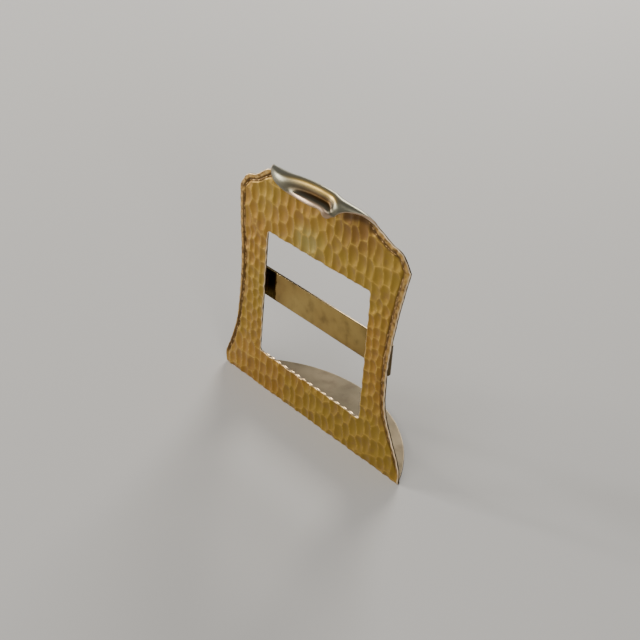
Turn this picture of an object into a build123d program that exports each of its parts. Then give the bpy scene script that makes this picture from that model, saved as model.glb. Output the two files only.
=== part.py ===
from build123d import *
import os
from math import cos, radians, tan

# A small hammered-brass card frame for a desk: a window sheet with a rolled
# crest, a half-round foot, and a bridge strap that holds the cards behind the
# window. Millimetres and degrees, +Z up, +Y towards the back.
# Face pieces are drawn upright, with Z as the height up the sheet, and are
# then leaned back about the front bottom edge.

# Driving dimensions
SHEET = 1.0             # face and foot sheet
LEAN = 4.7              # how far the face leans back from upright
WINDOW_HALF = 25.4
WINDOW_LOW = 13.8
WINDOW_HIGH = 58.7
WINDOW_SPLAY = 1.2      # the hand-cut lower left corner stands out by this
WINDOW_CORNER = 1.2

FOOT_HALF = 45.6        # half the foot's straight front edge
FOOT_DEPTH = 25.6

CREST_HALF = 22.5       # half the width of the rolled crest
CREST_REACH = 7.4       # how far it stands in front of the sheet
CREST_START = 81.6      # height at which the sheet starts to roll
CREST_BOW = 130.0       # radius of the crest's gentle arch from end to end
CREST_HALF_TURN = 10.5  # half the angle of that arch, a little past the crest's ends
CREST_JOINT = 3.1       # the crest joins the flat sheet this far below its start, this far in
CREST_INSET = 1.5
ROLL_RADIUS = 3.0
ROLL_TURN = 100         # degrees that the sheet turns over the ridge
LIP_RADIUS = 1.3
BROW_TURN = 62          # degrees down into the cupped hollow
CUP_TURN = 88           # degrees back out of it to the lip
HOLLOW_WALL = 0.9
LIP_FLAT = 0.4

STRAP = 0.8             # strap thickness
STRAP_HALF = 34.8       # half the distance over the strap's two legs
STRAP_REACH = 3.8       # front of the face to the back of the strap
STRAP_LOW = 33.5
STRAP_HIGH = 43.9
STRAP_FOOT = 4.6        # length of each soldered foot, turned in from its leg
STRAP_BEND = 0.5        # inside bend radius

BEAD = 0.8              # leg of a solder bead
FOOT_BEAD_HALF = 41.0

# The hand-cut outline, as height up the sheet against half width
RIGHT_SIDE = [(45.6, 0), (45.0, 5.2), (40.9, 13.2), (36.9, 21.4), (35.8, 31), (36.6, 45), (38.6, 58), (41.5, 71.6)]
RIGHT_TOP = [(41.5, 71.6), (38.4, 75.6), (32.0, 77.9), (26.0, 80.2), (22.0, 80.8)]
LEFT_TOP = [(-22.0, 80.8), (-26.0, 80.4), (-32.5, 76.6), (-38.6, 73.9), (-41.2, 70.2)]
LEFT_SIDE = [(-41.2, 70.2), (-40.4, 58), (-39.2, 46), (-39.2, 31), (-40.6, 18.5), (-43.6, 9.6), (-46.0, 3.2), (-45.6, 0)]

GROUND = Plane.XY
FACE_FRONT = Plane.XZ   # its normal points forwards, so a negative extrusion goes back


def leaned(piece):
    """Lean a piece back about the front bottom edge and trim it at the ground."""
    room = Pos(0, 0, 100) * Box(200, 200, 200)
    return Rot(-LEAN, 0, 0) * piece & room


def space_in_front():
    """Everything in front of the leaning sheet's back face, near the ground."""
    return Rot(-LEAN, 0, 0) * Pos(0, SHEET - 10, 0) * Box(200, 20, 50)


def outline():
    """The flat part of the face sheet, up to just inside the foot of the crest."""
    joint_z = CREST_START - CREST_JOINT
    joint_x = CREST_HALF - CREST_INSET
    with BuildSketch(FACE_FRONT) as flat:
        with BuildLine():
            Spline(*RIGHT_SIDE)
            Spline(*RIGHT_TOP)
            Polyline(RIGHT_TOP[-1], (joint_x, joint_z), (-joint_x, joint_z), LEFT_TOP[0])
            Spline(*LEFT_TOP)
            Spline(*LEFT_SIDE)
            Polyline(LEFT_SIDE[-1], (-FOOT_HALF, -1), (FOOT_HALF, -1), RIGHT_SIDE[0])
        make_face()
    return flat.sketch


def window():
    """The cards' window, cut by hand a little wider at the lower left."""
    corners = [(-WINDOW_HALF, WINDOW_HIGH), (WINDOW_HALF, WINDOW_HIGH),
               (WINDOW_HALF, WINDOW_LOW), (-WINDOW_HALF - WINDOW_SPLAY, WINDOW_LOW)]
    with BuildSketch(FACE_FRONT) as hole:
        with BuildLine():
            Polyline(*corners, close=True)
        make_face()
        fillet(hole.vertices(), WINDOW_CORNER)
    return hole.sketch


def crest():
    """The top of the sheet, rolled forwards over a soft ridge into a cupped lip."""
    with BuildSketch(Plane.YZ) as section:
        with BuildLine() as middle:
            rise = Line((SHEET / 2, CREST_START - CREST_JOINT - SHEET), (SHEET / 2, CREST_START))
            roll = JernArc(rise @ 1, rise % 1, ROLL_RADIUS, ROLL_TURN)
            brow = JernArc(roll @ 1, roll % 1, LIP_RADIUS, BROW_TURN)
            wall = PolarLine(brow @ 1, HOLLOW_WALL, direction=brow % 1)
            cup = JernArc(wall @ 1, wall % 1, LIP_RADIUS, -CUP_TURN)
            PolarLine(cup @ 1, LIP_FLAT, direction=cup % 1)
        trace(middle.line, SHEET)
    arch = Axis((0, 0, CREST_START + ROLL_RADIUS - CREST_BOW), (0, 1, 0))
    rolled = revolve(section.sketch.rotate(arch, -CREST_HALF_TURN), arch, 2 * CREST_HALF_TURN)
    with BuildSketch(GROUND) as plan:
        Ellipse(CREST_HALF, CREST_REACH)
        with Locations((0, SHEET)):
            Rectangle(2 * CREST_HALF, 2 * SHEET)
    return rolled & extrude(plan.sketch, 120)


def face_plate():
    """The face sheet with its window and its rolled crest."""
    sheet = extrude(outline() - window(), -SHEET)
    return leaned(sheet + crest())


def foot_plate():
    """The half-round foot, its straight edge fitted to the back of the face."""
    with BuildSketch(GROUND) as segment:
        with BuildLine():
            ThreePointArc((-FOOT_HALF, 0), (0, FOOT_DEPTH), (FOOT_HALF, 0))
            Line((FOOT_HALF, 0), (-FOOT_HALF, 0))
        make_face()
    return extrude(segment.sketch, SHEET) - space_in_front()


def card_strap():
    """One strip bent into a low bridge, with a foot turned in under each end."""
    foot_end = STRAP_HALF - STRAP_FOOT
    foot_y = SHEET + STRAP / 2
    back_y = STRAP_REACH - STRAP / 2
    leg_x = STRAP_HALF - STRAP / 2
    bend = STRAP_BEND + STRAP / 2
    with BuildSketch(GROUND) as strip:
        with BuildLine() as middle:
            FilletPolyline((-foot_end, foot_y), (-leg_x, foot_y), (-leg_x, back_y),
                           (leg_x, back_y), (leg_x, foot_y), (foot_end, foot_y), radius=bend)
        trace(middle.line, STRAP)
    return leaned(Pos(0, 0, STRAP_LOW) * extrude(strip.sketch, STRAP_HIGH - STRAP_LOW))


def bead(corner, outward, length):
    """A hollow-faced solder bead along an edge that stands on the back of the sheet."""
    section_plane = Plane(origin=corner, x_dir=outward, z_dir=Vector(outward).cross(Vector(0, 1, 0)))
    with BuildSketch(section_plane) as section:
        with BuildLine():
            Polyline((0, BEAD), (0, 0), (BEAD, 0))
            SagittaArc((BEAD, 0), (0, BEAD), BEAD / 5)
        make_face()
    return extrude(section.sketch, length / 2, both=True)


def foot_solder():
    """The seam of solder in the corner between the leaning face and its foot."""
    lean = radians(LEAN)
    corner_y = SHEET / cos(lean) + SHEET * tan(lean)
    seam = bead((0, corner_y, SHEET), (0, 0, 1), 2 * FOOT_BEAD_HALF)
    return seam - space_in_front()


def strap_solder(side):
    """Solder round the three free edges of one strap foot, which points towards the window."""
    outer_x = STRAP_HALF - STRAP - STRAP_BEND
    end_x = STRAP_HALF - STRAP_FOOT
    middle_z = (STRAP_LOW + STRAP_HIGH) / 2
    height = STRAP_HIGH - STRAP_LOW + 2 * BEAD
    along_x = side * (outer_x + end_x - BEAD) / 2
    width = outer_x - end_x + BEAD
    beads = bead((side * end_x, SHEET, middle_z), (-side, 0, 0), height)
    beads += bead((along_x, SHEET, STRAP_HIGH), (0, 0, 1), width)
    beads += bead((along_x, SHEET, STRAP_LOW), (0, 0, -1), width)
    return leaned(beads)


pieces = {
    "face_plate": face_plate(),
    "foot_plate": foot_plate(),
    "card_strap": card_strap(),
    "foot_solder": foot_solder(),
    "strap_solder_left": strap_solder(-1),
    "strap_solder_right": strap_solder(1),
}

# The origin is the middle of the footprint, on the surface the frame stands on
extent = Compound(list(pieces.values())).bounding_box()
centre = Pos(-extent.center().X, -extent.center().Y, 0)

os.makedirs("parts", exist_ok=True)
for name, piece in pieces.items():
    export_step(centre * piece, f"parts/{name}.step")
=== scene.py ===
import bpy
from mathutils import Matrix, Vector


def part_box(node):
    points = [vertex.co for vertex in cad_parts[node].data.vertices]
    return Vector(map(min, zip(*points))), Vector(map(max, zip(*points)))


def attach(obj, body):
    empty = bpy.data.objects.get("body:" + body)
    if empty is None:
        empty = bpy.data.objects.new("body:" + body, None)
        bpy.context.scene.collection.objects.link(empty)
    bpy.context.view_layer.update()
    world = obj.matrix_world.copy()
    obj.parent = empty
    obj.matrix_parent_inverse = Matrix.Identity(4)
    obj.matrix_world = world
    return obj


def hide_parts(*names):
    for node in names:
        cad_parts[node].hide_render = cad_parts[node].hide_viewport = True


bl_info = {
    "name": "Hammered Card Frame",
    "version": (1, 0, 0),
    "blender": (4, 5, 0),
    "location": "View3D > Sidebar > Card Frame",
    "description": "Builds a hammered brass desk card frame around its packed solids",
    "category": "Object",
}

import math
from types import SimpleNamespace

import bpy
import numpy as np
from bpy.props import FloatProperty, FloatVectorProperty, IntProperty, PointerProperty
from mathutils import Matrix, Vector

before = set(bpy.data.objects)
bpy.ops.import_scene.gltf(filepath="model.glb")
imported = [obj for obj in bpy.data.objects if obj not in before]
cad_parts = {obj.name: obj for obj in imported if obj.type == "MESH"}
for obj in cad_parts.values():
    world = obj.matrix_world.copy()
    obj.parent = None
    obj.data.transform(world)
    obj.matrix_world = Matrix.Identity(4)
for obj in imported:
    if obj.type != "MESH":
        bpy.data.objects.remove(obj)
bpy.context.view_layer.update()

# Lengths in the shape code are millimetres. The face is worked out upright, with x across it and z up
# the sheet, then leaned back about its front bottom edge and moved to where the solids stand.
MM = 0.001
FOOT_DEPTH = 25.6
FOOT_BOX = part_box("foot_plate")
PLACE = np.array([(FOOT_BOX[0].x + FOOT_BOX[1].x) / 2, FOOT_BOX[1].y - FOOT_DEPTH * MM, 0.0]) / MM

# The point that the camera looks at, from the middle of the face's foot
AIM = (7.77, 0.0, 42.36)

# The hand-cut outline: height up the sheet and how far out the edge is on each side,
# then distance across and height along the top
LEFT_EDGE = ((0, 45.6), (3.2, 46.0), (9.6, 43.6), (18.5, 40.6), (31, 39.2), (46, 39.2), (58, 40.4),
             (70.2, 41.2))
RIGHT_EDGE = ((0, 45.6), (5.2, 45.0), (13.2, 40.9), (21.4, 36.9), (31, 35.8), (45, 36.6), (58, 38.6),
              (71.6, 41.5))
LEFT_TOP = ((-41.2, 70.2), (-38.6, 73.9), (-32.5, 76.6), (-26.0, 80.4), (-22.0, 80.8))
RIGHT_TOP = ((22.0, 80.8), (26.0, 80.2), (32.0, 77.9), (38.4, 75.6), (41.5, 71.6))

# The crest's section, forward and up from where the sheet starts to roll: a plain roll at its two
# ends, and a brow, a hollow and a lip in between
PLAIN_ROLL = ((0.0, -0.3), (0.6, 1.8), (2.7, 3.0), (4.5, 2.6), (5.6, 1.5), (6.0, 0.0), (5.6, -1.5),
              (4.5, -2.6), (3.2, -3.1))
CUPPED_ROLL = ((0.0, -0.3), (0.45, 1.75), (1.7, 2.95), (2.95, 2.55), (3.4, 1.3), (3.9, 0.1), (5.2, -0.5),
               (6.5, -0.75), (7.1, -2.3))
ROLL_TOP = 3.0          # the sections' highest point
LAST_TURN = 8.95        # the roll stops just short of its ninth and last point

# How the crest changes from end to end, as distance across and value. How far it is rolled is counted
# in points of the section, from 1.
RIDGE_HEIGHT = ((-25.4, 81.0), (-24.6, 82.5), (-23.5, 82.7), (-21.0, 83.2), (-12.3, 84.1), (-5.0, 84.9),
                (2.2, 85.2), (14.0, 84.3), (20.3, 83.4), (25.4, 81.7))
ROLL_SIZE = ((-25.4, 0.12), (-24.0, 0.16), (-22.6, 0.34), (-20.0, 0.6), (-15.0, 0.85), (-7.0, 0.98),
             (3.0, 1.0), (8.0, 0.98), (10.5, 1.03), (12.5, 0.92), (17.0, 0.75), (22.0, 0.5), (25.4, 0.35))
HOW_CUPPED = ((-25.4, 0.0), (-17.5, 0.0), (-13.5, 0.22), (-9.0, 0.5), (-4.0, 0.75), (0.0, 0.9), (4.0, 1.0),
              (7.5, 0.95), (10.0, 0.7), (12.0, 0.3), (14.0, 0.0), (25.4, 0.0))
HOW_FAR_ROLLED = ((-25.4, 1.25), (-24.6, 1.5), (-23.6, 3.0), (-22.4, 5.0), (-20.6, 6.4), (-17.5, 7.4),
                  (-14.0, 8.1), (-5.0, 8.5), (2.4, 8.6), (7.5, 8.5), (10.2, 8.95), (11.4, 7.9), (13.0, 6.5),
                  (15.7, 5.1), (18.2, 4.4), (20.7, 3.6), (22.7, 2.8), (25.4, 1.25))

# The painted shadow line on the sheet under the right end of the crest, as distance across and height
UNDER_CREST = ((7.7, 76.3), (11.3, 78.1), (14.9, 79.2), (18.9, 80.1), (24.0, 80.0))

# How far the chased line stands in from the outline, as height and distance, and the two corners of
# the face at which it is broken
LINE_INSET = ((0, 8, 14, 27, 42, 60), (1.0, 1.1, 1.3, 1.6, 2.2, 2.4))
LINE_BREAKS = ((-39.3, 68.6), (39.5, 69.8))

# The hammered zones: lower and upper height, and the width and height of a mark. The third zone's
# marks are sized by the settings.
FOOT_ZONE = (-4, 15, 3.4, 5.6)
STILE_ZONE = (15, 57, 3.0, 4.3)
HEAD_ZONE = (57, 92)

# Grid steps over the face, all even, because the back has half as many
COLUMNS = (50, 180, 46)
ROWS = (42, 150, 60, 80)


# -------- shapes


def through(stations, at):
    """A smooth function through the stations: between each pair of them a cubic, whose slope at each
    station is that of the parabola through it and its neighbours."""
    stations = np.asarray(stations, float)
    knots, values = stations[:, 0], stations[:, 1]
    slopes = np.gradient(values, knots)
    at = np.clip(at, knots[0], knots[-1])
    left = np.clip(np.searchsorted(knots, at, side="right") - 1, 0, len(knots) - 2)
    span = knots[left + 1] - knots[left]
    t = (at - knots[left]) / span
    rise = (values[left + 1] - values[left])
    start, end = slopes[left] * span, slopes[left + 1] * span
    return values[left] + t * (start + t * ((3 * rise - 2 * start - end) + t * (start + end - 2 * rise)))


def step_between(low, high, at):
    """A soft step from 0 at low to 1 at high: 3t squared less 2t cubed."""
    t = np.clip((at - low) / (high - low), 0, 1)
    return t * t * (3 - 2 * t)


def ripple(along, across, size, seed):
    """Gentle unevenness between -1 and 1: a mean of six waves of about the given length, in random
    directions."""
    rng = np.random.default_rng(seed)
    total = 0
    turns, stretches = rng.uniform(0, np.pi, 6), rng.uniform(0.7, 1.5, 6)
    for turn, stretch, phase in zip(turns, stretches, rng.uniform(0, 2 * np.pi, 6)):
        wave = 2 * np.pi / (size * stretch)
        total = total + np.sin(wave * (along * np.cos(turn) + across * np.sin(turn)) + phase)
    return total / 6


def bell(off, width, power=2):
    """A soft hump, 1 in the middle: e to the minus power of the distance in widths."""
    return np.exp(-(off / width) ** power)


def straight(start, end, shares):
    """Points on the straight line from start to end, at the given shares of its length."""
    start, end = np.asarray(start, float), np.asarray(end, float)
    return start + (end - start) * shares[:, None]


def patch(bottom, top, left, right, across, up):
    """A grid that fills four edge curves: the straight lines from left to right, plus those from bottom
    to top, less the twisted plane through the four corners."""
    u, v = across[:, None, None], up[None, :, None]
    flat = (1 - u) * (1 - v) * bottom[0] + u * (1 - v) * bottom[-1] + (1 - u) * v * top[0] + u * v * top[-1]
    return (1 - u) * left[None] + u * right[None] + (1 - v) * bottom[:, None] + v * top[:, None] - flat


def window_edge(start, end, inward, count, radius):
    """One edge of the window, from the middle of one round corner to the middle of the next. Near a
    corner the edge leaves its line by the radius less the arc's height above its centre."""
    start, end = np.asarray(start, float), np.asarray(end, float)
    length = np.linalg.norm(end - start)
    first = radius * (1 - math.sqrt(0.5))
    run = np.linspace(first, length - first, count + 1)
    reach = np.clip(radius - np.minimum(run, length - run), 0, None)
    leave = radius - np.sqrt(radius ** 2 - reach ** 2)
    return start + (end - start) * (run / length)[:, None] + np.asarray(inward, float) * leave[:, None]


def blank_grid(face):
    """The flat blank as one grid of eight patches round the window, x and z of each point. Its edges
    stand in from the outline by the round-over, and its columns crowd towards the sides."""
    inset = face.round_over
    half = face.window_half + inset
    low, high = face.window_low - inset, face.window_high + inset
    splay, radius, crest_foot = face.window_splay, face.window_corner, face.crest_foot
    crowded = 1.4
    shares = [np.linspace(0, 1, COLUMNS[0] + 1) ** crowded, np.linspace(0, 1, COLUMNS[1] + 1),
              1 - np.linspace(1, 0, COLUMNS[2] + 1) ** crowded]
    heights = [np.linspace(0, 1, n + 1) for n in ROWS]

    def edge_column(stations, side):
        """An outer edge, in four runs that match the rows. Their ends lie a little lower than the
        window's and the crest's."""
        marks = (inset, low - 0.8, high - 1.5, stations[-1][0] - 2.6, stations[-1][0] - inset)
        runs = []
        for k in range(4):
            z = marks[k] + (marks[k + 1] - marks[k]) * heights[k]
            runs.append(np.stack([side * (through(stations, z) - inset), z], 1))
        return runs

    def inner_column(side, drift):
        """The line up through one side of the window, in four runs."""
        x_low, x_high = side * (half + drift), side * half
        top = through(LEFT_TOP if side < 0 else RIGHT_TOP, x_high) - inset
        window = window_edge((x_low, low), (x_high, high), (-side, 0), ROWS[1], radius)
        return [straight((x_low, inset), window[0], heights[0]), window,
                straight(window[-1], (x_high, crest_foot), heights[2]),
                straight((x_high, crest_foot), (x_high, top), heights[3])]

    columns = [edge_column(LEFT_EDGE, -1), inner_column(-1, splay),
               inner_column(1, 0), edge_column(RIGHT_EDGE, 1)]
    sill = window_edge((-half - splay, low), (half, low), (0, 1), COLUMNS[1], radius)
    head = window_edge((-half, high), (half, high), (0, -1), COLUMNS[1], radius)
    starts = [np.concatenate([[0], np.cumsum(COLUMNS)]), np.concatenate([[0], np.cumsum(ROWS)])]
    grid = np.zeros((starts[0][-1] + 1, starts[1][-1] + 1, 2))
    tops = (LEFT_TOP, None, RIGHT_TOP)
    for c in range(3):
        for r in range(4):
            if (c, r) == (1, 1):
                continue
            left, right = columns[c][r], columns[c + 1][r]
            bottom = straight(left[0], right[0], shares[c])
            top = straight(left[-1], right[-1], shares[c])
            if c == 1 and r == 0:
                top = sill
            if c == 1 and r == 2:
                bottom = head
            if c != 1 and r == 3:
                top[:, 1] = through(tops[c], top[:, 0]) - inset
            block = patch(bottom, top, left, right, shares[c], heights[r])
            grid[starts[0][c]:starts[0][c + 1] + 1, starts[1][r]:starts[1][r + 1] + 1] = block
    return grid


def nearest_distance(points, line):
    """How far each point is from a line of straight pieces, and how far along the line it is nearest."""
    best = np.full(points.shape[:-1], np.inf)
    place = np.zeros(points.shape[:-1])
    gone = 0.0
    for start, end in zip(line[:-1], line[1:]):
        run = end - start
        length = np.linalg.norm(run)
        t = np.clip(((points - start) @ run) / length ** 2, 0, 1)
        gap = np.linalg.norm(points - start - t[..., None] * run, axis=-1)
        closer = gap < best
        best = np.where(closer, gap, best)
        place = np.where(closer, gone + t * length, place)
        gone += length
    return best, place


def hammer_blows(face):
    """Where the hammer struck: x, z, half width and half height of each mark. The smith worked up the
    sheet in columns and stepped on by an uneven share of a mark, less far beside the window than
    above it."""
    rng = np.random.default_rng(face.seed)
    marks = []
    head_zone = (*HEAD_ZONE, face.blow_width, face.blow_height)
    shortest = 0.72
    for foot, head, wide, tall in (FOOT_ZONE, STILE_ZONE, head_zone):
        columns = np.arange(-48, 48, wide)
        count = int((head - foot) / tall / shortest) + 1
        steps = rng.uniform(shortest, 1.3, (len(columns), count)) * tall
        z = foot + np.cumsum(steps, axis=1) - steps * rng.uniform(0.1, 0.9, (len(columns), 1))
        x = columns[:, None] + rng.uniform(-0.13, 0.13, z.shape) * wide
        spread = rng.uniform(0.94, 1.08, z.shape)
        marks.append(np.stack([x, z, wide / 2 * spread, tall / 2 / spread], -1)[z < head])
    return np.concatenate(marks)


def hammered(x, z, blows, ridge_width):
    """Lift and wear of a hammered surface. Each blow leaves a dish, whose height is the square of the
    distance from its middle in half widths. The surface is the lowest dish at each point, with the
    join of the two lowest rounded. It is worn bright on a narrow line where those two are level, and a
    little on a band four times as wide."""
    x = x + 0.5 * ripple(x, z, 8, 11)
    z = z + 0.6 * ripple(x, z, 9, 12)
    nearest = np.full(x.shape, np.inf)
    second = np.full(x.shape, np.inf)
    for at_x, at_z, wide, tall in blows:
        square = ((x - at_x) / wide) ** 2 + ((z - at_z) / tall) ** 2
        second = np.minimum(second, np.maximum(nearest, square))
        nearest = np.minimum(nearest, square)
    gap = second - nearest
    softness, highest = 0.12, 1.35
    dish = (nearest + second) / 2 - np.sqrt(gap ** 2 + softness) / 2
    apart = np.sqrt(second) - np.sqrt(nearest)
    worn = 0.3 * bell(apart, 4 * ridge_width) + 0.7 * bell(apart, ridge_width)
    return np.minimum(dish, highest) - highest, worn


def roll_base(face, x):
    """The size of the crest's section, and the height of its origin that keeps the ridge on its line."""
    size = through(ROLL_SIZE, x)
    return size, through(RIDGE_HEIGHT, x) - face.sheet / 2 - ROLL_TOP * size


def crest_middle(face, x, share):
    """The middle of the sheet over the crest: forward, up, how far it is rolled and how cupped it is.
    Each section runs through the points of a roll, which is plain at the ends and cupped between, and
    the sheet is cut off part of the way through it. A turn under 1 is on the flat sheet."""
    size, base = roll_base(face, x)
    cupped = step_between(0, 1, through(HOW_CUPPED, x))
    turn = share * np.minimum(through(HOW_FAR_ROLLED, x), LAST_TURN)
    points = np.arange(1, 1 + len(PLAIN_ROLL))
    section = []
    for axis in (0, 1):
        plain = through(np.stack([points, np.array(PLAIN_ROLL)[:, axis]], 1), turn)
        cup = through(np.stack([points, np.array(CUPPED_ROLL)[:, axis]], 1), turn)
        section.append((plain + (cup - plain) * cupped) * size)
    return section[0], base + section[1], turn, cupped


def face_middle(face, grid):
    """The middle surface of the whole sheet, upright: flat, and rolled forward over the crest's rows.
    Also how far round the roll each point is, in points of the section, and how cupped it is there."""
    x, z = grid[..., 0], grid[..., 1].copy()
    y = np.full(x.shape, face.sheet / 2)
    turns, cups = np.zeros(x.shape), np.zeros(x.shape)
    columns, first = crest_columns(), sum(ROWS[:3])
    across = x[columns, first][:, None]
    share = np.linspace(0, 1, ROWS[3] + 1)[None, :]
    forward, up, turn, cupped = crest_middle(face, across, share)
    size, base = roll_base(face, across)
    foot = face.crest_foot
    rise = foot + (base + PLAIN_ROLL[0][1] * size - foot) * np.clip(turn, 0, 1)
    rolled = turn > 1
    z[columns, first:] = np.where(rolled, up, rise)
    y[columns, first:] -= np.where(rolled, forward, 0)
    turns[columns, first:] = turn
    cups[columns, first:] = cupped
    return np.stack([x, y, z], -1), turns, cups


def crest_columns():
    """The grid's columns that run on over the crest."""
    return slice(COLUMNS[0], COLUMNS[0] + COLUMNS[1] + 1)


def normals_of(surface):
    """Unit normals of a grid: across the grid's first step and its second, square to both."""
    normal = np.cross(np.gradient(surface, axis=0), np.gradient(surface, axis=1))
    return normal / np.linalg.norm(normal, axis=-1, keepdims=True)


def leaned(points, lean):
    """The points turned back about the front bottom edge and moved to where the solids stand."""
    back, up = points[..., 1], points[..., 2]
    y = back * math.cos(lean) + up * math.sin(lean)
    z = np.maximum(up * math.cos(lean) - back * math.sin(lean), 0)
    return np.stack([points[..., 0], y, z], -1) + PLACE


def loop_round(first_i, last_i, first_j, last_j):
    """The grid places round a rectangle of steps, from its lower left corner and to the right first."""
    i, j = np.arange(first_i, last_i), np.arange(first_j, last_j)
    return np.concatenate([
        np.stack([i, np.full(len(i), first_j)], 1),
        np.stack([np.full(len(j), last_i), j], 1),
        np.stack([i[::-1] + 1, np.full(len(i), last_j)], 1),
        np.stack([np.full(len(j), first_i), j[::-1] + 1], 1)])


class Shell:
    """Vertices, faces and surface values of a mesh that is put together part by part."""

    def __init__(self, names):
        self.points, self.faces, self.values = [], [], {name: [] for name in names}
        self.count = 0

    def add(self, points, values):
        """Adds vertices and returns their numbers. A value that isn't given is 0."""
        points = points.reshape(-1, 3)
        numbers = np.arange(len(points)) + self.count
        self.points.append(points)
        for name, rows in self.values.items():
            given = np.asarray(values.get(name, 0.0), float).reshape(-1)
            rows.append(np.broadcast_to(given, (len(points),)))
        self.count += len(points)
        return numbers

    def skin(self, numbers, keep, flip):
        """Quads between neighbours of a grid of vertex numbers, wherever keep is true."""
        a, b, c, d = numbers[:-1, :-1], numbers[1:, :-1], numbers[1:, 1:], numbers[:-1, 1:]
        order = (a, d, c, b) if flip else (a, b, c, d)
        self.faces.append(np.stack([corner[keep] for corner in order], -1))

    def band(self, inner, outer):
        """Quads between two closed rings of the same length."""
        self.faces.append(np.stack([inner, outer, np.roll(outer, -1), np.roll(inner, -1)], -1))

    def thin_out(self, fine, coarse):
        """Triangles from a closed ring to one with half as many vertices."""
        left, middle, right = fine[0::2], fine[1::2], np.roll(fine, -2)[0::2]
        after = np.roll(coarse, -1)
        for corners in ((left, coarse, middle), (middle, coarse, after), (middle, after, right)):
            self.faces.append(np.stack(corners, -1))

    def make(self, name, scale=MM):
        """The mesh object, in metres, smooth, with the values as attributes of its points."""
        mesh = bpy.data.meshes.new(name)
        points = np.concatenate(self.points) * scale
        corners = np.concatenate([faces.reshape(-1) for faces in self.faces])
        sizes = np.concatenate([np.full(len(faces), faces.shape[1]) for faces in self.faces])
        mesh.vertices.add(len(points))
        mesh.vertices.foreach_set("co", points.astype(np.float32).reshape(-1))
        mesh.loops.add(len(corners))
        mesh.loops.foreach_set("vertex_index", corners.astype(np.int32))
        mesh.polygons.add(len(sizes))
        mesh.polygons.foreach_set("loop_start", (np.cumsum(sizes) - sizes).astype(np.int32))
        mesh.update(calc_edges=True)
        mesh.polygons.foreach_set("use_smooth", np.ones(len(sizes), bool))
        for value, rows in self.values.items():
            attribute = mesh.attributes.new(value, "FLOAT", "POINT")
            attribute.data.foreach_set("value", np.concatenate(rows).astype(np.float32))
        mesh.validate()
        obj = bpy.data.objects.new(name, mesh)
        bpy.context.scene.collection.objects.link(obj)
        return obj


def sheet_shell(middle, normal, thickness, round_over, values, lift, hole=None, back_values=None,
                patchy=0.0):
    """A closed sheet over a grid. The front skin stands half a thickness plus lift off the middle, the
    back skin half a thickness behind it on every second grid line, and a quarter circle of the
    round-over's radius turns each skin's edge into the cut edge between them. A patchy arris is worn
    bright, with painted glints, in some places and less in others, and a value named dull takes the painted
    brightness off it."""
    shell = Shell(sorted(set(values) | set(back_values or {}) | {"edge", "cut", "back"}))
    front = middle + normal * (thickness / 2 + lift)[..., None]
    rear = middle - normal * (thickness / 2)[..., None]
    steps_i, steps_j = middle.shape[0] - 1, middle.shape[1] - 1
    keep = np.ones((steps_i, steps_j), bool)
    loops = [loop_round(0, steps_i, 0, steps_j)]
    if hole:
        keep[hole[0]:hole[1], hole[2]:hole[3]] = False
        loops.append(np.roll(loop_round(*hole)[::-1], 1, axis=0))
    front_numbers = shell.add(front, values).reshape(middle.shape[:2])
    shell.skin(front_numbers, keep, False)
    coarse = {name: rows[::2, ::2] for name, rows in (back_values or {}).items()}
    back_numbers = shell.add(rear[::2, ::2], {**coarse, "back": 1.0}).reshape(rear[::2, ::2].shape[:2])
    shell.skin(back_numbers, keep[::2, ::2], True)
    for loop in loops:
        i, j = loop[:, 0], loop[:, 1]
        given = {name: rows[i, j] for name, rows in values.items()}
        bright = arris_wear_and_glints(middle[i, j], patchy) * (1 - 0.75 * given.get("dull", 0.0))
        ring = front_numbers[i, j]
        for points, arris, cut, side in edge_rings(middle, normal, front, rear, round_over, (i, j)):
            numbers = shell.add(points, {**given, "edge": arris * bright, "cut": cut, "back": side})
            shell.band(ring, numbers)
            ring = numbers
        shell.thin_out(ring, back_numbers[(i // 2)[::2], (j // 2)[::2]])
    return shell


def arris_wear_and_glints(points, patchy):
    """How brightly the arris is worn and painted with glints along a loop: an uneven wave of about the
    hammer's step.
    """
    x, z = points[:, 0], points[:, 2]
    wave = np.sin(2 * np.pi * (x + z) / 3.4 + 1.6 * ripple(x, z, 8, 61))
    return 1 - patchy * (0.5 + 0.5 * wave)


def edge_rings(middle, normal, front, rear, round_over, loop):
    """The rings that turn the front skin's edge into the back's, a quarter circle out and one in again:
    the points, how far each is on the arris and on the cut edge, and whether it is on the back's half."""
    along = np.roll(middle[loop], -1, axis=0) - np.roll(middle[loop], 1, axis=0)
    out = np.cross(along, normal[loop])
    out /= np.linalg.norm(out, axis=-1, keepdims=True)
    turns = np.radians((30, 60, 90))
    rings = []
    for skin, inward, side in ((front[loop], -normal[loop], 0.0), (rear[loop], normal[loop], 1.0)):
        for angle in turns[::-1] if side else turns:
            rise, reach = 1 - math.cos(angle), math.sin(angle)
            points = skin + round_over * (inward * rise + out * reach)
            arris = math.sin(2 * angle) ** 2
            rings.append((points, 0.2 * arris, reach, side) if side else (points, arris, reach ** 4, side))
    return rings


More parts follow.
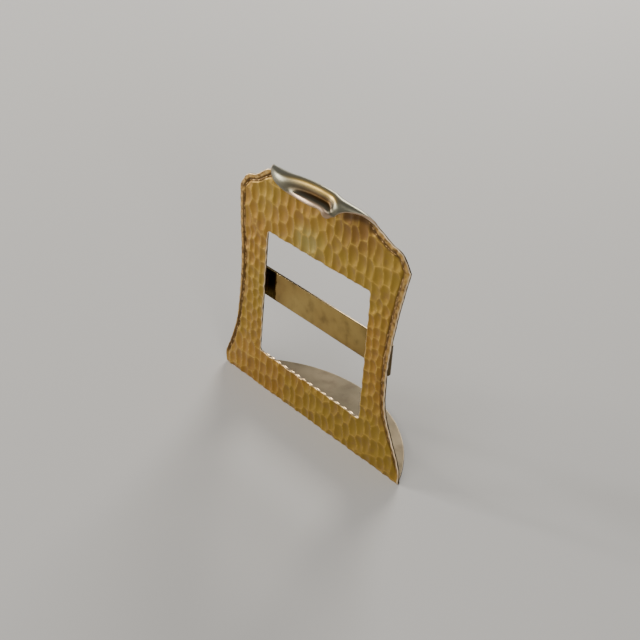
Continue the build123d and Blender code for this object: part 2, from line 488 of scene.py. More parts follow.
def face_sheet(face):
    """The face: the blank's grid, hammered, chased and rimmed on the front, rolled at the top, leaned."""
    grid = blank_grid(face)
    x, z = grid[..., 0], grid[..., 1]
    middle, turn, cupped = face_middle(face, grid)
    normal = np.zeros_like(middle)
    normal[..., 1] = -1
    rolled = (crest_columns(), slice(sum(ROWS[:3]) - 1, None))
    normal[rolled] = normals_of(middle[rolled])
    on_flat = 1 - step_between(0.7, 2.2, turn)
    gap, place = nearest_distance(grid, outer_edge())
    dishes, worn = hammered(x, z, hammer_blows(face), face.ridge_width)
    lift, values = border(face, grid, on_flat, gap, place, dishes * face.blow_depth, worn)
    below_window = (np.arange(grid.shape[1]) <= ROWS[0])[None, :]
    knock, on_sill, bead = sill_knocks(face, x, z, below_window)
    middle[..., 2] += knock
    filed_foot = np.clip(1 - z / 1.1, 0, 1) ** 2 * below_window
    lift = lift - 0.3 * filed_foot
    values.update({
        # The sill value holds the painted glints on the knocks, and dull takes the painted brightness off
        # the arris between them.
        "inside": step_between(0.6, 1.8, turn), "sill": bead, "dull": (1 - bead) * on_sill,
        "shade": under_crest(x, middle[..., 2]) * on_flat,
        # A painted highlight along the outline on the right side.
        "edge": 0.75 * bell(gap, 0.3) * step_between(20, 26, x) * (1 - step_between(1.0, 2.0, turn)),
    })
    back_values = {
        "crest": step_between(1.0, 2.6, turn), "lip": step_between(7.3, 8.3, turn),
        "hollow": bell(turn - 5.9, 1.2, 4) * cupped, "brow": bell(turn - 4.15, 0.5) * cupped,
    }
    sway = 0.09 * ripple(place, 0 * place, 4.5, 9)
    middle[..., 0] += np.sign(x) * sway * (1 - step_between(0, 2.0, gap)) * (turn < 0.5)
    thickness = face.sheet * (1 - 0.42 * step_between(1.0, 6.0, turn))
    shell = sheet_shell(middle, normal, thickness, face.round_over, values, lift, window_steps(),
                        back_values, patchy=0.4)
    shell.points = [leaned(points, face.lean) for points in shell.points]
    return shell.make("hammered_face")


def border(face, grid, on_flat, gap, place, dishes, worn):
    """The lift of the hammered and chased front, and its surface values. Along the outline, gap in from
    it and place along it, the rim outside the chased line has no hammer marks: it falls back at the
    rim's slope and is knocked at uneven steps. The line is a flat-bottomed channel with a light burr
    standing in its middle."""
    x, z = grid[..., 0], grid[..., 1]
    inset = np.interp(z, *LINE_INSET)
    past = gap - inset
    strength = line_strength(x, z) * on_flat
    rim = (1 - step_between(-0.5, 0.1, past)) * strength
    burr = bell(past, 0.14) * strength
    dents = 0.5 + 0.5 * np.cos(2 * np.pi * place / 3.1 + 2.2 * ripple(place, gap, 11, 5))
    rim_lift = -math.tan(face.rim_slope) * np.clip(inset - gap, 0, None) - 0.13 * dents
    channel = bell(past, 0.6, 4) * strength - 0.5 * burr
    uneven = 0.75 + 0.25 * ripple(place, 0 * place, 1.7, 14)
    lift = (dishes * (1 - rim) + rim_lift * rim) * on_flat - channel * uneven * face.groove_depth
    return lift, {
        "ridge": worn * (1 - rim) * on_flat + rim * (1 - dents) * 0.5, "rim": rim, "burr": burr,
        "groove": bell(past + 0.12, 0.75, 4) * strength, "dent": rim * dents,
    }


def line_strength(x, z):
    """How deep the chased line is cut: it fades at the foot, before the crest and at its two breaks."""
    before_crest = 1 - (1 - step_between(21, 23, np.abs(x))) * step_between(70, 76, z)
    strength = step_between(2.5, 6, z) * before_crest
    for break_x, break_z in LINE_BREAKS:
        strength = strength * (1 - bell(np.hypot(x - break_x, z - break_z), 0.9))
    return strength


def sill_knocks(face, x, z, below_window):
    """The window's sill, knocked into low waves: their height, where the sill is, and the painted glints
    on their tops."""
    on_sill = bell(z - face.window_low, 0.7) * (np.abs(x) < face.window_half) * below_window
    wave = np.sin(2 * np.pi * x / 3.4 + 1.5 * ripple(x, 0 * x, 9, 62))
    return 0.12 * wave * on_sill, on_sill, on_sill * step_between(-0.4, 0.6, wave)


def under_crest(x, z):
    """How dark the sheet is painted as shadow in the narrow hollow under the right end of the crest."""
    off = z - through(UNDER_CREST, x)
    fade = step_between(9, 13, x) * (1 - step_between(20, 24, x))
    return bell(off, np.where(off > 0, 2.5, 1.1)) * fade


def outer_edge():
    """The outline's two sides and its top, as one line from the left foot over to the right foot."""
    rows = np.linspace(0, 1, 61)
    left_z, right_z = rows * LEFT_EDGE[-1][0], rows[::-1] * RIGHT_EDGE[-1][0]
    runs = [np.stack([-through(LEFT_EDGE, left_z), left_z], 1)[:-1]]
    for top, last in ((LEFT_TOP, None), (RIGHT_TOP, -1)):
        x = np.linspace(top[0][0], top[-1][0], 25)
        runs.append(np.stack([x, through(top, x)], 1)[:last])
    runs.append(np.stack([through(RIGHT_EDGE, right_z), right_z], 1))
    return np.concatenate(runs)


def window_steps():
    """The window's place in the grid: first and last column, first and last row."""
    return COLUMNS[0], COLUMNS[0] + COLUMNS[1], ROWS[0], ROWS[0] + ROWS[1]


def foot_sheet(face, foot):
    """The half-round foot: columns that run back from the face to a circle's arc, with the top hardly
    uneven from planishing. At each end the columns stop short of the arc's point."""
    half, depth = foot.half, foot.depth
    radius = (half ** 2 + depth ** 2) / (2 * depth)
    inset, short, seam = foot.round_over, 0.45, 0.02
    x = np.linspace(-half + short, half - short, 181)[:, None]
    share = np.linspace(0, 1, 61)[None, :]
    near = face.sheet / math.cos(face.lean) + seam + inset
    far = np.sqrt(radius ** 2 - x ** 2) - (radius - depth) - inset
    far = np.maximum(far, near + 0.05)
    y = near + (far - near) * share
    middle = np.stack(np.broadcast_arrays(x, y, foot.sheet / 2 * np.ones_like(y)), -1)
    normal = np.zeros_like(middle)
    normal[..., 2] = 1
    lift = 0.035 * ripple(middle[..., 0], middle[..., 1], 9, 21) - 0.03
    shell = sheet_shell(middle, normal, np.full(y.shape, foot.sheet), inset, {}, lift)
    shell.points = [points + PLACE for points in shell.points]
    return shell.make("half_round_foot")


def strap_sheet(face, strap):
    """The card strap: a strip carried along a bridge-shaped path whose corners are quarter circles. Its
    legs, and a little of its front near them, are painted darker as shade."""
    thick = strap.sheet
    foot_y, back_y = face.sheet + thick / 2, strap.reach - thick / 2
    leg_x, end_x = strap.half - thick / 2, strap.half - strap.foot_length
    bend = strap.bend + thick / 2
    inset = strap.round_over
    path = bent_line([(-end_x - inset, foot_y), (-leg_x, foot_y), (-leg_x, back_y), (leg_x, back_y),
                      (leg_x, foot_y), (end_x + inset, foot_y)], bend, 8, 1.0)
    if len(path) % 2 == 0:
        path = np.insert(path, 1, path[:2].mean(0), axis=0)
    low, high = strap.low + inset, strap.high - inset
    height = np.linspace(low, high, 25)
    middle = np.zeros((len(path), len(height), 3))
    middle[..., 0], middle[..., 1] = path[:, 0, None], path[:, 1, None]
    middle[..., 2] = height[None, :]
    on_bridge = middle[..., 1] > back_y - 0.1
    middle[..., 1] += 0.06 * ripple(middle[..., 0], middle[..., 2], 26, 31) * on_bridge
    normal = normals_of(middle)
    out = np.abs(middle[..., 0])
    # Painted shade: dark on the legs, and a little on the front towards them.
    leg = {"leg": 0.2 * step_between(12, 26, out) + 0.8 * step_between(leg_x - bend, leg_x - 0.2, out)}
    shell = sheet_shell(middle, normal, np.full(middle.shape[:2], thick), inset, leg,
                        0.012 * ripple(middle[..., 0], middle[..., 2], 4, 33), back_values=leg)
    shell.points = [leaned(points, face.lean) for points in shell.points]
    return shell.make("bridge_strap")


def bent_line(corners, radius, arc_steps, spacing):
    """A line through the corners with each inner corner turned on a circle's arc, in even steps."""
    corners = np.asarray(corners, float)
    pieces = [corners[:1]]
    for before, corner, after in zip(corners[:-2], corners[1:-1], corners[2:]):
        back = (before - corner) / np.linalg.norm(before - corner)
        on = (after - corner) / np.linalg.norm(after - corner)
        half_turn = math.acos(np.clip(back @ on, -1, 1)) / 2
        tangent = radius / math.tan(half_turn)
        centre = corner + (back + on) / np.linalg.norm(back + on) * radius / math.sin(half_turn)
        start, end = corner + back * tangent - centre, corner + on * tangent - centre
        t = np.linspace(0, 1, arc_steps + 1)[:, None]
        swing = math.acos(np.clip(start @ end / radius ** 2, -1, 1))
        arc = (np.sin((1 - t) * swing) * start + np.sin(t * swing) * end) / math.sin(swing)
        pieces.append(centre + arc)
    pieces.append(corners[-1:])
    line = [pieces[0]]
    for before, after in zip(pieces[:-1], pieces[1:]):
        run = np.linalg.norm(after[0] - before[-1])
        steps = max(int(run / spacing), 1)
        line.append(straight(before[-1], after[0], np.arange(1, steps) / steps))
        line.append(after)
    return np.concatenate(line)


def solder_seam(name, path, wall, floor, size, seed, stand):
    """A bead of solder in a corner. At each point of the path its section runs from the corner up the
    wall, over a hollow curve whose size wanders, and back along the floor, and it tapers at both ends.
    The function stand then moves the points to where the solids stand."""
    path = np.asarray(path, float)
    run = np.concatenate([[0], np.cumsum(np.linalg.norm(np.diff(path, axis=0), axis=1))])
    lump = size * (0.86 + 0.16 * ripple(run, 0 * run, 2.6, seed))
    ends = np.sqrt(np.clip(np.minimum(run, run[-1] - run) / 0.8, 0, 1))
    reach = (lump * np.maximum(ends, 0.02))[:, None, None]
    angle = np.linspace(0, np.pi / 2, 9)
    bulge = 1 - 0.24 * np.sin(2 * angle)
    up, out = np.cos(angle) ** 1.2 * bulge, np.sin(angle) ** 1.2 * bulge
    hollow = up[None, :, None] * wall[:, None] + out[None, :, None] * floor[:, None]
    face_points = path[:, None] + reach * hollow
    root = path[:, None] - 0.06 * (wall + floor)[:, None]
    rings = np.concatenate([root, face_points], 1)
    shell = Shell(("edge", "back"))
    numbers = shell.add(rings, {}).reshape(rings.shape[:2])
    around = np.concatenate([numbers, numbers[:, :1]], 1)
    inside_out = (path[1] - path[0]) @ np.cross(floor[0], wall[0]) < 0
    shell.skin(around, np.ones((len(path) - 1, rings.shape[1]), bool), inside_out)
    for end, flip in ((0, inside_out), (-1, not inside_out)):
        middle = shell.add(rings[end].mean(0), {})
        a, b = numbers[end], np.roll(numbers[end], -1)
        corners = (b, a) if flip else (a, b)
        shell.faces.append(np.stack([*corners, np.full(len(a), middle[0])], -1))
    shell.points = [stand(points) for points in shell.points]
    return shell.make(name)


# -------- finishes


class Signal:
    """A number that varies over a surface, which adds Math nodes as it is worked with."""

    def __init__(self, finish, socket):
        self.finish, self.socket = finish, socket

    def __add__(self, other):
        return self.finish.math("ADD", self, other)

    def __sub__(self, other):
        return self.finish.math("SUBTRACT", self, other)

    def __rsub__(self, other):
        return self.finish.math("SUBTRACT", other, self)

    def __mul__(self, other):
        return self.finish.math("MULTIPLY", self, other)

    __radd__, __rmul__ = __add__, __mul__


class Finish:
    """A material and the nodes that make it."""

    def __init__(self, name):
        self.material = bpy.data.materials.new(name)
        self.material.use_nodes = True
        self.tree = self.material.node_tree
        self.shader = next(n for n in self.tree.nodes if n.type == "BSDF_PRINCIPLED")
        self.coordinates = self.node("ShaderNodeTexCoord", output="Object")

    def node(self, kind, settings=None, inputs=None, output=0):
        """Adds a node: its settings first, then the value or link of each named or numbered socket."""
        node = self.tree.nodes.new(kind)
        for name, value in (settings or {}).items():
            setattr(node, name, value)
        for name, value in (inputs or {}).items():
            self.feed(node.inputs[name], value)
        return Signal(self, node.outputs[output])

    def feed(self, socket, value):
        """Links a signal to a socket, or sets its value. A colour has three numbers and is opaque."""
        if isinstance(value, Signal):
            self.tree.links.new(value.socket, socket)
        elif socket.type == "RGBA":
            socket.default_value = (*value, 1.0)
        else:
            socket.default_value = value

    def math(self, operation, first, second):
        return self.node("ShaderNodeMath", {"operation": operation}, {0: first, 1: second})

    def value(self, name):
        """One of the mesh's own surface values."""
        return self.node("ShaderNodeAttribute", {"attribute_name": name}, output="Fac")

    def noise(self, scale, detail=3.0, rough=0.5, vector=None):
        vector = vector or self.coordinates
        return self.node("ShaderNodeTexNoise", {}, {"Vector": vector, "Scale": scale, "Detail": detail,
                                                    "Roughness": rough}, "Fac")

    def stretched(self, scale):
        """The object's coordinates, scaled differently each way."""
        return self.node("ShaderNodeMapping", {}, {"Vector": self.coordinates, "Scale": scale}, "Vector")

    def distance(self, place, stretch):
        """How far each point is from a place, with the distance scaled differently each way."""
        kind = "ShaderNodeVectorMath"
        offset = self.node(kind, {"operation": "SUBTRACT"}, {0: self.coordinates, 1: place})
        scaled = self.node(kind, {"operation": "MULTIPLY"}, {0: offset, 1: stretch})
        return self.node(kind, {"operation": "LENGTH"}, {0: scaled}, "Value")

    def mask(self, signal, low, high):
        """A soft step from 0 at low to 1 at high."""
        return self.node("ShaderNodeMapRange", {"interpolation_type": "SMOOTHSTEP"},
                         {"Value": signal, "From Min": low, "From Max": high}, "Result")

    def mix(self, factor, first, second):
        """Colours mixed: first where the factor is 0."""
        return self.node("ShaderNodeMix", {"data_type": "RGBA", "clamp_factor": True},
                         {0: factor, 6: first, 7: second}, 2)

    def bump(self, height, distance, strength):
        inputs = {"Height": height, "Distance": distance, "Strength": strength}
        return self.node("ShaderNodeBump", {}, inputs, "Normal")

    def apply(self, obj, **sockets):
        """Feeds the shader's sockets, whose names are written with underscores, and dresses the object."""
        for name, value in sockets.items():
            self.feed(self.shader.inputs[name.replace("_", " ").title().replace("Ior", "IOR")], value)
        obj.data.materials.clear()
        obj.data.materials.append(self.material)


def hammered_brass(obj, colours):
    """Patinated brass: the hammered front, the smooth back, which shows in the crest, and the edges
    between them, painted dark as shade on the cut edges and bright on the arrises, which are worn and carry
    a painted highlight."""
    f = Finish("hammered_brass")
    values = ("ridge", "groove", "edge", "cut", "back", "inside", "crest", "sill")
    ridge, groove, edge, cut, back, inside, crest, sill = (f.value(name) for name in values)
    broad, mottled, fine = f.noise(38.0, 3.0), f.noise(240.0, 4.0, 0.6), f.noise(1500.0, 3.0, 0.6)
    wear = ridge * (0.45 + 0.55 * f.mask(f.noise(420.0, 2.0), 0.35, 0.6))
    front = front_colour(f, colours, broad, mottled, wear, groove, inside)
    main = f.mix(back, front, back_colour(f, colours, broad))
    # Painted shade: the cut edges are dark, except on the crest, inside the roll and along the sill.
    main = f.mix(cut * (1 - crest) * (1 - inside) * (1 - sill) * 0.85, main, colours.painted_shade_and_patina)
    main = f.mix(cut * inside, main, colours.lip)
    # The sill's cut edge is painted bright in glints on the knocks.
    main = f.mix(cut * sill, main, colours.bead)
    # The arrises are painted pale and less metallic: wear and a painted highlight.
    main = f.mix(edge * 0.95, main, colours.arris)
    rough = 0.4 - 0.12 * wear + 0.1 * mottled + 0.15 * groove
    rough = rough - 0.12 * edge - 0.1 * crest - 0.12 * sill * cut
    scratches = f.noise(900.0, 2.0, 0.5, f.stretched((1.0, 1.0, 0.16)))
    surface = f.bump(0.6 * fine + 0.4 * scratches, 0.00004, 0.5)
    f.apply(obj, base_color=main, roughness=rough, metallic=0.9 - 0.8 * edge, normal=surface)


def front_colour(f, colours, broad, mottled, wear, groove, inside):
    """The hammered front: brown and olive marks with gold ridges, a painted shadow under the crest and a
    grey-green bloom above the window, then the flecked rim, the dark chased line, painted shade inside the
    roll and a painted shadow line under the crest."""
    rim, burr, dent = f.value("rim"), f.value("burr"), f.value("dent")
    dish = f.mix(f.mask(broad, 0.38, 0.62), colours.dish, colours.olive)
    dish = f.mix(f.mask(mottled, 0.45, 0.7) * 0.5, dish, colours.umber)
    # A painted shadow: a broad darker brown patch under the crest's right end.
    painted_crest_shadow = f.mask(f.distance((0.017, -0.007, 0.077), (0.8, 1.0, 1.0)), 0.014, 0.002)
    dish = f.mix(painted_crest_shadow * 0.8, dish, colours.painted_crest_shadow)
    bloom = f.mask(f.distance((-0.005, -0.007, 0.063), (0.7, 1.0, 1.0)), 0.0075, 0.001)
    dish = f.mix(bloom * (0.3 + 0.5 * mottled), dish, colours.verdigris)
    flecks = f.mask(f.noise(650.0, 2.0), 0.52, 0.64)
    worn_burr = f.mask(f.noise(800.0, 2.0), 0.48, 0.62)
    front = dish
    for amount, colour in ((wear, colours.ridge), (rim * 0.5, colours.rim), (dent * 0.6, colours.dish),
                           (rim * flecks * 0.7, colours.channel), (groove * 0.85, colours.channel),
                           # The front skin inside the roll is painted dark as shade.
                           (burr * worn_burr, colours.rim), (inside * 0.85, colours.painted_shade_and_patina),
                           # Painted shadow under the crest's right end.
                           (f.value("shade") * 0.9, colours.channel)):
        front = f.mix(amount, front, colour)
    return front


def back_colour(f, colours, broad):
    """The smooth back: grey-green, dark in the crest's hollow from patina and painted shade, gold on the
    brow above it from wear and a painted highlight, and pinkish on the lip."""
    back = f.mix(f.mask(broad, 0.35, 0.65), colours.back, colours.back_light)
    # The hollow is painted dark: patina and painted shade.
    back = f.mix(f.value("hollow"), back, colours.hollow)
    # The brow is painted gold: wear and a painted highlight.
    back = f.mix(f.value("brow") * 0.9, back, colours.ridge)
    return f.mix(f.value("lip") * 0.9, back, colours.lip)


def smooth_brass(obj, colours, name, main, light, dull, scratched):
    """Smooth brass with an old, cloudy surface, fine scratches, painted shade on its cut edges and on the
    strap's legs, and a brighter arris, worn and with a painted highlight.
    """
    f = Finish(name)
    edge = f.value("edge")
    broad, cloudy, fine = f.noise(55.0, 4.0), f.noise(260.0, 2.0, 0.5), f.noise(1900.0, 2.0)
    base = f.mix(f.mask(broad, 0.34, 0.68), main, light)
    # Cloudy patina, then painted shade on the strap's legs and on the cut edges.
    for amount in (f.mask(cloudy, 0.42, 0.85) * 0.45, f.value("leg") * 0.8, f.value("cut") * 0.7):
        base = f.mix(amount, base, colours.painted_shade_and_patina)
    # The arris is painted brighter: wear and a painted highlight.
    base = f.mix(edge * 0.55, base, colours.arris)
    scratches = f.noise(700.0, 2.0, 0.5, f.stretched((0.08, 1.0, 1.0)))
    rough = dull + 0.2 * dull * cloudy - 0.02 * edge
    surface = f.bump(0.5 * fine + 0.5 * scratches, 0.00003, scratched)
    f.apply(obj, base_color=base, roughness=rough, metallic=1.0, normal=surface)


def dull_solder(obj, colours):
    """Old hard solder: pale where it was filed and dark where flux stayed."""
    f = Finish("dull_solder")
    cloudy, fine = f.noise(600.0, 4.0, 0.6), f.noise(2600.0, 3.0)
    colour = f.mix(f.mask(cloudy, 0.42, 0.66), colours.solder, colours.painted_shade_and_patina)
    f.apply(obj, base_color=colour, roughness=0.42 + 0.25 * cloudy, metallic=1.0,
            normal=f.bump(fine, 0.00006, 0.6))


# -------- settings


def length(name, description, default):
    """A length property, given in millimetres."""
    return FloatProperty(name=name, description=description, default=default * MM, unit="LENGTH",
                         precision=5)


def millimetres(settings):
    """The settings' values, with each length in millimetres."""
    values = {}
    for name in settings.__annotations__:
        is_length = settings.bl_rna.properties[name].unit == "LENGTH"
        values[name] = getattr(settings, name) / MM if is_length else getattr(settings, name)
    return SimpleNamespace(**values)


def angle(name, description, default):
    """An angle property, given in degrees."""
    return FloatProperty(name=name, description=description, default=math.radians(default), unit="ROTATION")


def colour(name, description, default):
    """A colour property, in linear light."""
    return FloatVectorProperty(name=name, description=description, default=default, subtype="COLOR", size=3,
                               min=0.0, max=1.0)


class FaceSettings(bpy.types.PropertyGroup):
    sheet: length("Sheet", "Thickness of the face sheet", 1.0)
    lean: angle("Lean", "How far the face leans back from upright", 4.7)
    window_half: length("Window half width", "Half the window's width", 25.4)
    window_low: length("Window sill", "Height of the window's lower edge up the sheet", 13.8)
    window_high: length("Window head", "Height of the window's upper edge up the sheet", 58.7)
    window_splay: length("Window splay", "How far the lower left corner stands out", 1.2)
    window_corner: length("Window corner", "Radius of the window's corners", 1.2)
    crest_foot: length("Crest foot", "Height up the sheet where the crest's sections start", 77.6)
    round_over: length("Round-over", "Radius of the worn edges", 0.32)
    blow_width: length("Blow width", "Width of a hammer mark above the window", 3.8)
    blow_height: length("Blow height", "Height of a hammer mark above the window", 6.4)
    blow_depth: length("Blow depth", "Depth of a hammer mark", 0.32)
    groove_depth: length("Groove depth", "Depth of the chased line", 0.34)
    rim_slope: angle("Rim slope", "How far the rim outside the chased line falls back", 3.0)
    ridge_width: FloatProperty(name="Ridge width", description="Width of a worn ridge, in half marks",
                               default=0.085)
    seed: IntProperty(name="Seed", description="Which run of hammer marks is struck", default=7)


class FootSettings(bpy.types.PropertyGroup):
    sheet: length("Sheet", "Thickness of the foot", 1.0)
    half: length("Half width", "Half the foot's straight edge", 45.6)
    depth: length("Depth", "How far the foot stands back", FOOT_DEPTH)
    round_over: length("Round-over", "Radius of the worn edge", 0.2)


class StrapSettings(bpy.types.PropertyGroup):
    sheet: length("Sheet", "Thickness of the strap", 0.8)
    half: length("Half width", "Half the distance over the two legs", 34.8)
    reach: length("Reach", "Front of the face to the back of the strap", 3.8)
    low: length("Lower edge", "Height of the strap's lower edge up the sheet", 33.5)
    high: length("Upper edge", "Height of the strap's upper edge up the sheet", 43.9)
    foot_length: length("Foot length", "Length of each soldered foot, turned in from its leg", 4.6)
    bend: length("Bend", "Inside radius of the bends", 0.5)
    round_over: length("Round-over", "Radius of the worn edges", 0.14)
    bead: length("Solder", "Size of the solder beads", 0.8)


class BrassColours(bpy.types.PropertyGroup):
    dish: colour("Mark", "Brown brass inside a hammer mark", (0.37, 0.198, 0.036))
    olive: colour("Olive", "Olive brass inside a hammer mark", (0.34, 0.217, 0.034))
    umber: colour("Umber", "Duller brown clouds over the marks", (0.27, 0.155, 0.06))
    ridge: colour("Ridge", "Gold brass on a worn ridge", (0.62, 0.395, 0.08))
    rim: colour("Rim", "Pinkish brass along the rim", (0.62, 0.40, 0.17))
    # Worn brass on the arrises, with a painted highlight.
    arris: colour("Arris", "Bright brass on a worn arris", (1.0, 0.8, 0.54))
    verdigris: colour("Verdigris", "Grey-green bloom above the window", (0.37, 0.32, 0.11))
    # A painted shadow under the crest's right end.
    painted_crest_shadow: colour("Soot", "Dark brown patina under the crest", (0.22, 0.105, 0.03))
    # Dark brown flecks on the rim and in the chased line, and painted shadow under the crest.
    channel: colour("Channel", "Brown patina in the chased line and under the crest", (0.10, 0.05, 0.017))
    # Painted shade on cut edges, inside the roll and on the strap's legs; also dark patina clouds and
    # solder flux.
    painted_shade_and_patina: colour("Recess", "Dark patina on cut edges and in corners", (0.035, 0.02, 0.01))
    back: colour("Back", "Grey-green brass on the smooth back", (0.13, 0.125, 0.085))
    back_light: colour("Light back", "Lighter clouds on the smooth back", (0.20, 0.19, 0.135))
    # Patina and painted shade in the crest's hollow.
    hollow: colour("Hollow", "Dark brown in the crest's hollow", (0.055, 0.025, 0.002))
    lip: colour("Lip", "Pinkish brass along the crest's lip", (0.50, 0.34, 0.22))
    # Painted glints on the knocks along the sill.
    bead: colour("Bead", "Bright brass on the knocks along the sill", (1.0, 0.70, 0.36))
    foot: colour("Foot", "Grey-green brass of the foot", (0.07, 0.055, 0.03))
    foot_light: colour("Light foot", "Lighter clouds on the foot", (0.12, 0.092, 0.052))
    strap: colour("Strap", "Brown brass of the strap", (0.30, 0.19, 0.055))
    strap_light: colour("Light strap", "Lighter clouds on the strap", (0.40, 0.28, 0.09))
    solder: colour("Solder", "Pale hard solder", (0.36, 0.30, 0.20))


class StageSettings(bpy.types.PropertyGroup):
    azimuth: angle("Azimuth", "How far the camera stands round to the right of the front", 50.88)
    elevation: angle("Elevation", "How far the camera stands above the level", 31.447)
    distance: length("Distance", "Camera to the point that it looks at", 406.6)
    lens: FloatProperty(name="Lens", description="Focal length in millimetres", default=73.125)
    floor: colour("Floor", "Pale floor", (0.50, 0.485, 0.46))
    world: FloatProperty(name="Surroundings", description="Strength of the surrounding light", default=0.25)


# -------- operators


class CARDFRAME_OT_stage(bpy.types.Operator):
    """Lay the floor, hang the lights and stand the camera"""

    bl_idname = "cardframe.stage"
    bl_label = "Stage"

    def execute(self, context):
        stage = context.scene.card_stage
        lay_floor(stage)
        surround(context, stage)
        hang_lights()
        stand_camera(context, stage)
        return {"FINISHED"}


def lay_floor(stage):
    """A flat floor that is far wider than the view."""
    mesh = bpy.data.meshes.new("floor")
    reach = 3.0
    mesh.from_pydata([(-reach, -reach, 0), (reach, -reach, 0), (reach, reach, 0), (-reach, reach, 0)], [],
                     [(0, 1, 2, 3)])
    floor = bpy.data.objects.new("floor", mesh)
    bpy.context.scene.collection.objects.link(floor)
    f = Finish("floor")
    f.apply(floor, base_color=stage.floor, roughness=0.75)


def surround(context, stage):
    """Even, dim light from all round."""
    world = bpy.data.worlds.new("studio")
    world.use_nodes = True
    background = world.node_tree.nodes["Background"]
    background.inputs["Color"].default_value = (0.95, 0.97, 1.0, 1.0)
    background.inputs["Strength"].default_value = stage.world
    context.scene.world = world


def hang_lights():
    """Soft round lights, as place, size, watts and tint: the key stands behind and to the left, a low one
    in front at the left lights the face, a broad one hangs above, a small one makes the glints along
    the sill, and one stands to the right."""
    warm, soft = (1.0, 0.97, 0.92), (1.0, 0.98, 0.95)
    lights = (
        ("key", (-0.62, 0.9, 0.6), 0.5, 12.0, warm),
        ("front", (-1.0, -0.6, 0.33), 0.5, 9.0, soft),
        ("top", (0.0, -0.5, 1.3), 0.9, 6.0, soft),
        ("spark", (-1.1, -0.39, 0.43), 0.12, 3.5, warm),
        ("side", (1.3, -0.6, 0.5), 0.4, 8.0, soft),
    )
    for name, place, size, watts, tint in lights:
        data = bpy.data.lights.new(name, "AREA")
        data.shape, data.size, data.energy, data.color = "DISK", size, watts, tint
        light = bpy.data.objects.new(name, data)
        light.matrix_world = looking(Vector(place), Vector((0, 0, 0.04)))
        bpy.context.scene.collection.objects.link(light)


def looking(place, target):
    """The matrix that stands a light or camera at a place and turns it to a target."""
    turned = (target - place).to_track_quat("-Z", "Y").to_matrix().to_4x4()
    return Matrix.Translation(place) @ turned


def stand_camera(context, stage):
    """Stands the camera at its angle and distance from the point that it looks at."""
    target = Vector(PLACE * MM) + Vector(AIM) * MM
    level = math.cos(stage.elevation)
    back = Vector((math.sin(stage.azimuth) * level, -math.cos(stage.azimuth) * level,
                   math.sin(stage.elevation)))
    data = bpy.data.cameras.new("camera")
    data.lens, data.sensor_width = stage.lens, 36.0
    data.clip_start = 0.01
    camera = bpy.data.objects.new("camera", data)
    camera.matrix_world = looking(target + back * stage.distance, target)
    context.scene.collection.objects.link(camera)
    context.scene.camera = camera


class CARDFRAME_OT_face(bpy.types.Operator):
    """Hammer the face sheet, chase its line and roll its crest"""

    bl_idname = "cardframe.face"
    bl_label = "Face"

    def execute(self, context):
        piece = face_sheet(millimetres(context.scene.card_face))
        hammered_brass(piece, context.scene.card_colours)
        settle(piece, "face_plate")
        return {"FINISHED"}


class CARDFRAME_OT_foot(bpy.types.Operator):
    """Cut the half-round foot"""

    bl_idname = "cardframe.foot"
    bl_label = "Foot"

    def execute(self, context):
        colours = context.scene.card_colours
        piece = foot_sheet(millimetres(context.scene.card_face), millimetres(context.scene.card_foot))
        smooth_brass(piece, colours, "foot_brass", colours.foot, colours.foot_light,
                     dull=0.42, scratched=0.6)
        settle(piece, "foot_plate")
        return {"FINISHED"}


class CARDFRAME_OT_strap(bpy.types.Operator):
    """Bend the strap that holds the cards"""

    bl_idname = "cardframe.strap"
    bl_label = "Strap"

    def execute(self, context):
        colours = context.scene.card_colours
        piece = strap_sheet(millimetres(context.scene.card_face), millimetres(context.scene.card_strap))
        smooth_brass(piece, colours, "strap_brass", colours.strap, colours.strap_light,
                     dull=0.1, scratched=0.25)
        settle(piece, "card_strap")
        return {"FINISHED"}


class CARDFRAME_OT_solder(bpy.types.Operator):
    """Run the solder round the strap's feet and along the foot"""

    bl_idname = "cardframe.solder"
    bl_label = "Solder"

    def execute(self, context):
        scene = context.scene
        face, foot = millimetres(scene.card_face), millimetres(scene.card_foot)
        strap = millimetres(scene.card_strap)
        for seam, node in ((strap_seam(face, strap, -1), "strap_solder_left"),
                           (strap_seam(face, strap, 1), "strap_solder_right"),
                           (foot_seam(face, foot, strap.bead), "foot_solder")):
            dull_solder(seam, scene.card_colours)
            settle(seam, node)
        return {"FINISHED"}


def strap_seam(face, strap, side):
    """Solder round the three free edges of one strap foot."""
    start, end = strap.half - strap.sheet - strap.bend, strap.half - strap.foot_length
    low, high, back = strap.low, strap.high, face.sheet
    line = bent_line([(start, high), (end, high), (end, low), (start, low)], 0.12, 4, 0.3)
    along = np.gradient(line, axis=0)
    along /= np.linalg.norm(along, axis=1, keepdims=True)
    out = np.stack([side * along[:, 1], np.zeros(len(line)), -along[:, 0]], 1)
    path = np.stack([side * line[:, 0], np.full(len(line), back), line[:, 1]], 1)
    wall = np.tile((0.0, 1.0, 0.0), (len(line), 1))
    name = "strap_bead_left" if side < 0 else "strap_bead_right"
    return solder_seam(name, path, wall, out, strap.bead, 41 + side, lambda p: leaned(p, face.lean))


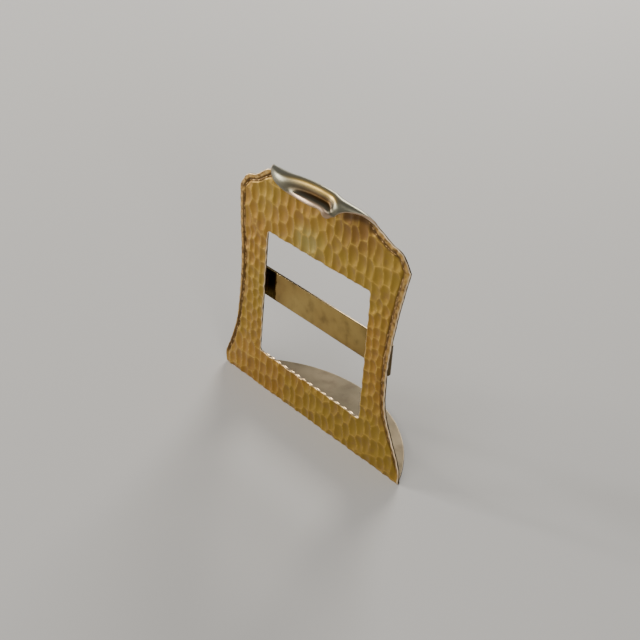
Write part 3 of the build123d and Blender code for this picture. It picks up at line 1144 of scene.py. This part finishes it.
def foot_seam(face, foot, size):
    """Solder in the corner between the leaning face and the foot, not quite out to the foot's ends."""
    reach = foot.half - 4.6
    corner_y = face.sheet / math.cos(face.lean) + foot.sheet * math.tan(face.lean)
    x = np.linspace(-reach, reach, 260)
    path = np.stack([x, np.full(len(x), corner_y), np.full(len(x), foot.sheet)], 1)
    wall = np.tile((0.0, math.sin(face.lean), math.cos(face.lean)), (len(x), 1))
    floor = np.tile((0.0, 1.0, 0.0), (len(x), 1))
    return solder_seam("foot_bead", path, wall, floor, size, 51, lambda p: p + PLACE)


def settle(piece, node):
    """Puts a piece on the frame's one body, in place of its solid."""
    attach(piece, "root")
    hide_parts(node)


class CARDFRAME_PT_panel(bpy.types.Panel):
    bl_idname = "CARDFRAME_PT_panel"
    bl_label = "Card Frame"
    bl_space_type = "VIEW_3D"
    bl_region_type = "UI"
    bl_category = "Card Frame"

    def draw(self, context):
        for group in ("card_face", "card_foot", "card_strap", "card_colours", "card_stage"):
            box = self.layout.box()
            settings = getattr(context.scene, group)
            for name in settings.__annotations__:
                box.prop(settings, name)
        for operator in OPERATORS:
            self.layout.operator(operator.bl_idname)


OPERATORS = (CARDFRAME_OT_stage, CARDFRAME_OT_face, CARDFRAME_OT_foot, CARDFRAME_OT_strap,
             CARDFRAME_OT_solder)
GROUPS = {"card_face": FaceSettings, "card_foot": FootSettings, "card_strap": StrapSettings,
          "card_colours": BrassColours, "card_stage": StageSettings}


def register():
    for item in (*GROUPS.values(), *OPERATORS, CARDFRAME_PT_panel):
        bpy.utils.register_class(item)
    for name, group in GROUPS.items():
        setattr(bpy.types.Scene, name, PointerProperty(type=group))


def unregister():
    for name in GROUPS:
        delattr(bpy.types.Scene, name)
    for item in reversed((*GROUPS.values(), *OPERATORS, CARDFRAME_PT_panel)):
        bpy.utils.unregister_class(item)


def main():
    register()
    bpy.ops.cardframe.stage()
    bpy.ops.cardframe.face()
    bpy.ops.cardframe.foot()
    bpy.ops.cardframe.strap()
    bpy.ops.cardframe.solder()
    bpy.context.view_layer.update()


if __name__ == "__main__":
    main()
